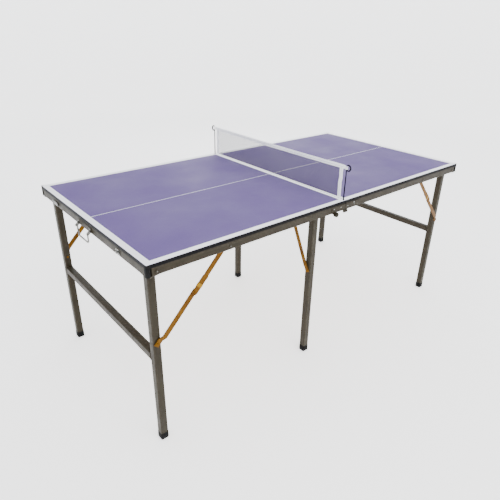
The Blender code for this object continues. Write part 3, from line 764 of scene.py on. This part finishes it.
def grip_knob():
    """A knurled round plastic knob with a dished face, on its own stem."""
    low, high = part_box("hinge_knob")
    radius = (high.x - low.x) / 2
    centre = Vector(((low.x + high.x) / 2, 0, (low.z + high.z) / 2))
    back, front, edge = high.y, low.y, -HALF_WIDTH
    steps = 72
    shape = bmesh.new()
    profile = (
        (0.16, back), (0.30, back), (0.30, edge - 0.0027), (0.72, edge - 0.0028),
        (0.93, edge - 0.0042), (1.0, edge - 0.0052), (1.0, front + 0.0030), (0.93, front + 0.0014),
        (0.84, front + 0.0006), (0.60, front + 0.0006), (0.54, front + 0.0013), (0.20, front + 0.0013),
    )
    rings = []
    for share, y in profile:
        ring = []
        for i in range(steps):
            a = 2 * pi * i / steps
            ridged = share - (KNURL * (i % 2) if share > 0.9 else 0)
            ring.append(Vector((centre.x + radius * ridged * cos(a), y, centre.z + radius * ridged * sin(a))))
        rings.append(ring)
    loft(shape, rings)
    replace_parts(new_piece("knurled_knob", shape, [KNOB], "knob", 50), "hinge_knob")


# ---------------------------------------------------------------- welds
WELD_CORNER = 0.0035
BEAD = 0.0017


def weld_bead(shape, centre, axis, width, depth, seed):
    """A rippled fillet of weld round the end of a square tube."""
    turn = frame_at(centre, axis)
    outline = rounded_square(width, depth, WELD_CORNER, 6)
    points, radii = [], []
    for i, (x, y) in enumerate(outline):
        points.append(turn @ Vector((x, y, 0)))
        radii.append(BEAD + 0.0004 * sin(i * 2.4 + seed) + 0.0002 * sin(i * 5.1 + seed * 3))
    sweep(shape, points, radii, 8, closed=True)


def crossbar_welds(half):
    """A bead round each end of the crossbar, where it meets the end legs."""
    low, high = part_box(half + "_crossbar")
    shape = bmesh.new()
    middle = (low + high) / 2
    size = high.x - low.x
    for side, y in ((-1, low.y), (1, high.y)):
        weld_bead(shape, Vector((middle.x, y, middle.z)), (0, side, 0), size, size, side + 2.0)
    new_piece(half + "_crossbar_welds", shape, [COAT], half + "_leg_frame", 60)


# ---------------------------------------------------------------- net
net_low, net_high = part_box("net")
post_low, post_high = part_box("near_net_post")
POST_RADIUS = (post_high.x - post_low.x) / 2
post = frame["nodes"]["near_net_post"]
post_points = [post.matrix_world @ v.co for v in post.data.vertices]
post_foot = [p.y for p in post_points if p.z < post_low.z + 0.001]
POST_Y = abs(min(post_foot) + max(post_foot)) / 2
TAPE_DROP = 0.0030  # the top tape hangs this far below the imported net's top
NET_GAP = 0.0178  # from a post's middle to the net's end
NET_X = (net_low.x + net_high.x) / 2
NET_TOP = net_high.z - TAPE_DROP
NET_BOTTOM = net_low.z
NET_END = POST_Y - NET_GAP
TAPE_WIDTH = 0.0168
SIDE_TAPE = 0.0172
TAPE_THICK = 0.0022
SIDE_THICK = 0.0020
SAG = 0.0022
MESH_PITCH = 0.0050
STRAND = 0.00056
TUCK = 0.002  # how far the strands run in behind the tapes
HEM = 0.0022  # from a tape's edge to the row of stitches beside it
THREAD_RADIUS = 0.00018
STITCH = 0.0011  # half a stitch's length
STITCH_RISE = 0.00014
# radius of the grey line drawn along the middle of each tape face
MID_LINE_RADIUS = 0.0006
TIE = 0.0010
FOOT_TIE = 0.0009


def sag_at(y, z):
    """How far the net hangs below its ends' height at this place; it fades out towards the bottom."""
    share = (z - NET_BOTTOM) / (NET_TOP - NET_BOTTOM)
    return -SAG * (1 - (y / NET_END) ** 2) * share


def belly(y, z):
    """Slight billow of the hanging net across its width."""
    share = (z - NET_BOTTOM) / (NET_TOP - NET_BOTTOM)
    return 0.0009 * sin(y * 9 + 0.6) * (1 - share) * (1 - (y / NET_END) ** 4)


def top_wave(y):
    """Where the top tape's middle lies across the table; it wanders a little along its length."""
    return NET_X + 0.00035 * sin(y * 61) + 0.0002 * sin(y * 143 + 1)


def side_wave(side, z):
    """The same for a side tape."""
    return NET_X + 0.0004 * sin(z * 120 + side)


def side_shift(side, z):
    """How far a side tape's edges wander along the net."""
    return side * (0.0006 * sin(z * 74) + 0.0004 * sin(z * 170))


def net_strands():
    """Over-and-under twine mesh between the tapes."""
    shape = bmesh.new()
    low_z, high_z = NET_BOTTOM + 0.0012, NET_TOP - TAPE_WIDTH + TUCK
    reach = NET_END - SIDE_TAPE + TUCK
    columns = int(2 * reach / MESH_PITCH)
    rows = int((high_z - low_z) / MESH_PITCH)
    step_y = 2 * reach / columns
    step_z = (high_z - low_z) / rows

    def place(y, z, lift):
        return Vector((NET_X + belly(y, z) + lift, y, z + sag_at(y, z)))

    for c in range(columns + 1):
        y = -reach + c * step_y
        line = []
        for r in range(rows + 1):
            line.append(place(y, low_z + r * step_z, STRAND * 0.55 * (1 if (c + r) % 2 else -1)))
        sweep(shape, line, STRAND, 4)
    for r in range(rows + 1):
        z = low_z + r * step_z
        line = []
        for c in range(columns + 1):
            line.append(place(-reach + c * step_y, z, STRAND * 0.55 * (-1 if (c + r) % 2 else 1)))
        sweep(shape, line, STRAND if r else STRAND * 1.8, 4)
    return new_piece("net_mesh", shape, [TWINE], "net_set", 80)


def tape_section(half_width, half_depth):
    """A folded tape's section: flat faces and round edges; u runs across its width, v through its depth."""
    points = []
    for start, centre in ((0, half_width - half_depth), (180, -half_width + half_depth)):
        for i in range(5):
            a = radians(start - 90 + 180 * i / 4)
            points.append((centre + half_depth * cos(a), half_depth * sin(a)))
    return points


def net_tapes():
    """The top tape from post to post and the two side tapes, each folded, with a grey line along the middle of
    each face and stitches.
    """
    shape = bmesh.new()
    stitches = bmesh.new()
    reach = POST_Y - 2 * POST_RADIUS
    middle = TAPE_WIDTH / 2
    rings = []
    for i in range(121):
        y = -reach + 2 * reach * i / 120
        squeeze = 1 - 0.22 * max(0.0, (abs(y) - NET_END) / (reach - NET_END))
        z = NET_TOP - middle + sag_at(y, NET_TOP)
        x = top_wave(y)
        rings.append([Vector((x + v, y, z + u * squeeze)) for u, v in tape_section(middle, TAPE_THICK / 2)])
    loft(shape, rings)
    for side in (-1, 1):
        rings = []
        centre_y = side * (NET_END - SIDE_TAPE / 2)
        top, bottom = NET_TOP - TAPE_WIDTH + 0.004, NET_BOTTOM
        for i in range(31):
            z = bottom + (top - bottom) * i / 30
            x, y = side_wave(side, z), centre_y + side_shift(side, z)
            rings.append([Vector((x + v, y + u, z)) for u, v in tape_section(SIDE_TAPE / 2, SIDE_THICK / 2)])
        loft(shape, rings)
    for face in (-1, 1):
        # A grey line along the middle of each tape face, then the rows of stitches.
        mid_line = []
        for i in range(121):
            y = NET_END * (i / 60 - 1)
            mid_line.append((top_wave(y) + face * 0.0010, y, NET_TOP - middle * 1.1 + sag_at(y, NET_TOP)))
        sweep(stitches, mid_line, MID_LINE_RADIUS, 4)
        for row in (HEM, TAPE_WIDTH - HEM):
            for i in range(250):
                y = NET_END * (i / 124.5 - 1)
                z = NET_TOP - row + sag_at(y, NET_TOP)
                x = top_wave(y) + face * 0.00112
                stitch = [(x, y - STITCH, z), (x + face * STITCH_RISE, y, z), (x, y + STITCH, z)]
                sweep(stitches, stitch, THREAD_RADIUS, 4)
        for side in (-1, 1):
            mid_line = []
            for i in range(31):
                z = NET_BOTTOM + 0.001 + (NET_TOP - TAPE_WIDTH - NET_BOTTOM) * i / 30
                y = side * (NET_END - SIDE_TAPE * 0.45) + side_shift(side, z)
                mid_line.append((side_wave(side, z) + face * 0.0009, y, z))
            sweep(stitches, mid_line, MID_LINE_RADIUS, 4)
            for offset in (HEM, SIDE_TAPE - HEM):
                for i in range(36):
                    z = NET_BOTTOM + 0.002 + (NET_TOP - TAPE_WIDTH - NET_BOTTOM - 0.003) * i / 35
                    y = side * (NET_END - offset) + side_shift(side, z)
                    x = side_wave(side, z) + face * 0.00102
                    stitch = [(x, y, z - STITCH), (x + face * STITCH_RISE, y, z), (x, y, z + STITCH)]
                    sweep(stitches, stitch, THREAD_RADIUS, 4)
    tapes = new_piece("net_tapes", shape, [TAPE], "net_set", 50)
    seams = new_piece("net_stitching", stitches, [THREAD], "net_set", 80)
    return tapes, seams


def net_ties():
    """White cords: three turns round each post at the top, and one from each lower corner to the post."""
    shape = bmesh.new()
    ring = POST_RADIUS + TIE
    for side in (-1, 1):
        for turn_z in (NET_TOP - 0.0060, NET_TOP - 0.0105, NET_TOP - 0.0150):
            loop = []
            for i in range(24):
                a = 2 * pi * i / 24
                z = turn_z + 0.0006 * sin(a + turn_z * 900)
                loop.append((NET_X + ring * sin(a), side * (POST_Y + ring * cos(a)), z))
            sweep(shape, loop, TIE, 6, closed=True)
        start = Vector((NET_X, side * (NET_END - 0.003), NET_BOTTOM + 0.0060))
        end = Vector((NET_X, side * (POST_Y - POST_RADIUS - 0.0008), NET_BOTTOM + 0.0012))
        points = [start.lerp(end, i / 8) + Z_AXIS * (-0.0009 * sin(pi * i / 8)) for i in range(9)]
        sweep(shape, points, FOOT_TIE, 6)
    return new_piece("net_ties", shape, [TAPE], "net_set", 60)


for half in HALVES:
    paint_board(half)
    paint_lines(half)
    edge_bands(half)
    half_screws(half)
    brace_rings(half)
    corner_gussets(half)
    crossbar_welds(half)
    for leg in LEGS:
        moulded_foot(half, leg)
grip_knob()
strands = net_strands()
tapes, seams = net_tapes()
ties = net_ties()
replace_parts(strands, "net")


# ---------------------------------------------------------------- camera, light and floor
def add_camera():
    """The photograph's viewpoint."""
    data = bpy.data.cameras.new("camera")
    data.sensor_width = 36
    data.lens = 33.296
    data.shift_x = -0.0226
    data.shift_y = -0.01478
    data.clip_end = 50
    camera = bpy.data.objects.new("camera", data)
    camera.location = (-1.4568, -1.5727, 1.4334)
    camera.rotation_euler = Euler((1.12138, -0.02569, -0.71629), "XYZ")
    bpy.context.scene.collection.objects.link(camera)
    bpy.context.scene.camera = camera


def add_area(name, location, target, size, power, colour):
    """A square area light aimed at target."""
    data = bpy.data.lights.new(name, "AREA")
    data.shape = "SQUARE"
    data.size = size
    data.energy = power
    data.color = colour
    light = bpy.data.objects.new(name, data)
    light.location = location
    light.rotation_euler = (Vector(target) - Vector(location)).to_track_quat("-Z", "Y").to_euler()
    bpy.context.scene.collection.objects.link(light)


def sweep_floor(shape):
    """A flat floor that curves up into a pale wall all round, like a paper sweep."""
    profile = [(2.0, 0.0), (4.0, 0.0), (6.5, 0.0)]
    profile += [(6.5 + 2.5 * sin(radians(a)), 2.5 - 2.5 * cos(radians(a))) for a in range(9, 82, 9)]
    profile += [(9.0, 3.6), (9.0, 4.6)]
    steps = 96
    centre = shape.verts.new((0, 0, 0))
    rings = []
    for radius, height in profile:
        angles = [2 * pi * i / steps for i in range(steps)]
        rings.append([shape.verts.new((radius * cos(a), radius * sin(a), height)) for a in angles])
    for i in range(steps):
        shape.faces.new((centre, rings[0][i], rings[0][(i + 1) % steps]))
    for low, high in zip(rings, rings[1:]):
        for i in range(steps):
            shape.faces.new((low[i], high[i], high[(i + 1) % steps], low[(i + 1) % steps]))


def add_studio():
    """Pale surroundings, two soft lights and the floor."""
    world = bpy.data.worlds.new("studio")
    world.use_nodes = True
    background = world.node_tree.nodes["Background"]
    background.inputs["Color"].default_value = (0.95, 0.97, 1.0, 1)
    background.inputs["Strength"].default_value = 1.5
    bpy.context.scene.world = world
    add_area("key", (-0.5, -3.0, 3.5), (0, 0, 0.6), 2.4, 90, (1.0, 0.98, 0.95))
    add_area("fill", (2.4, 2.8, 2.6), (0, 0, 0.6), 2.6, 50, (0.93, 0.96, 1.0))
    mesh = bpy.data.meshes.new("floor")
    shape = bmesh.new()
    sweep_floor(shape)
    shape.to_mesh(mesh)
    shape.free()
    mesh.shade_smooth()
    s = Shader("floor_paper", (0.93, 0.93, 0.93), 0.0, 0.8)
    s.set("Emission Color", (1, 1, 1, 1))
    s.set("Emission Strength", 1.1)
    mesh.materials.append(s.material)
    floor = bpy.data.objects.new("floor", mesh)
    bpy.context.scene.collection.objects.link(floor)
    floor.location.z = -0.0005


add_camera()
add_studio()
